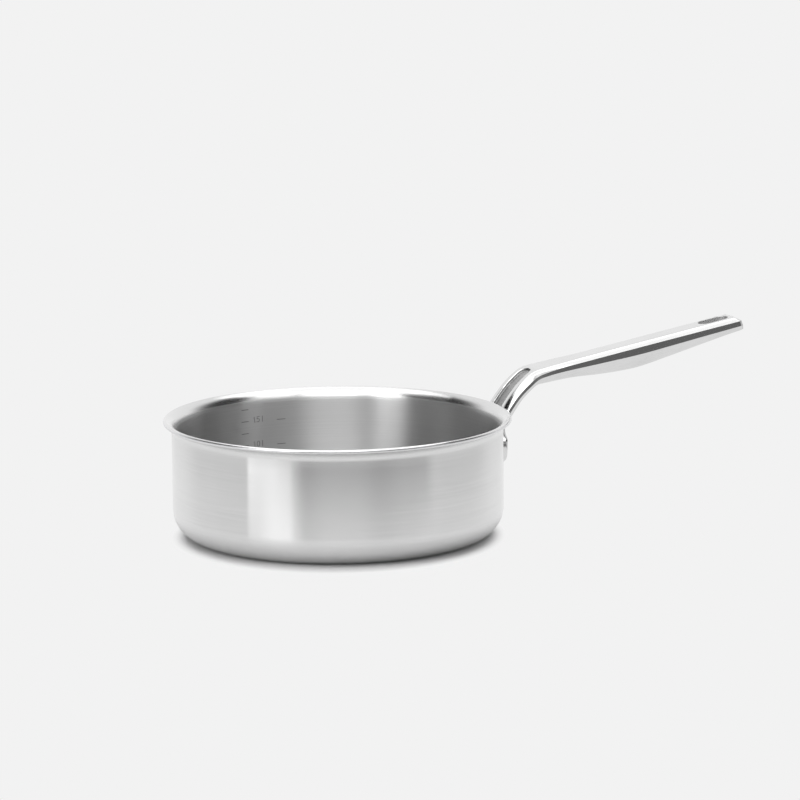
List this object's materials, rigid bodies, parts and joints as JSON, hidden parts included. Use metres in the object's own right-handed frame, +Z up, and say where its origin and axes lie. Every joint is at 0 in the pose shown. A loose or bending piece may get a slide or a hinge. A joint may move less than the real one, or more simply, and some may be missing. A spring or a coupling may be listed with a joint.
{
  "type": "deep frying pan",
  "caption": "Deep straight-sided frying pan with a thick clad base, a flared pouring rim, an etched litre scale inside and a long cast handle with a hanging slot.",
  "frame": {"origin": "centre of the flat base, on the surface that the pan stands on", "axes": "+Z up, along the axis of the pan body; +X along the handle, away from the body; +Y to the left of the handle"},
  "size_m": [0.3864, 0.2154, 0.1173],
  "materials": {
    "outer_steel": "brushed round the wall",
    "core_aluminium": "bare, seen only in the rim's edge",
    "inner_steel": "brushed round the wall",
    "handle_steel": "polished casting"
  },
  "bodies": {
    "root": {"outer_skin": "outer_steel", "aluminium_core": "core_aluminium", "inner_lining": "inner_steel", "handle": "handle_steel"}
  },
  "joints": []
}
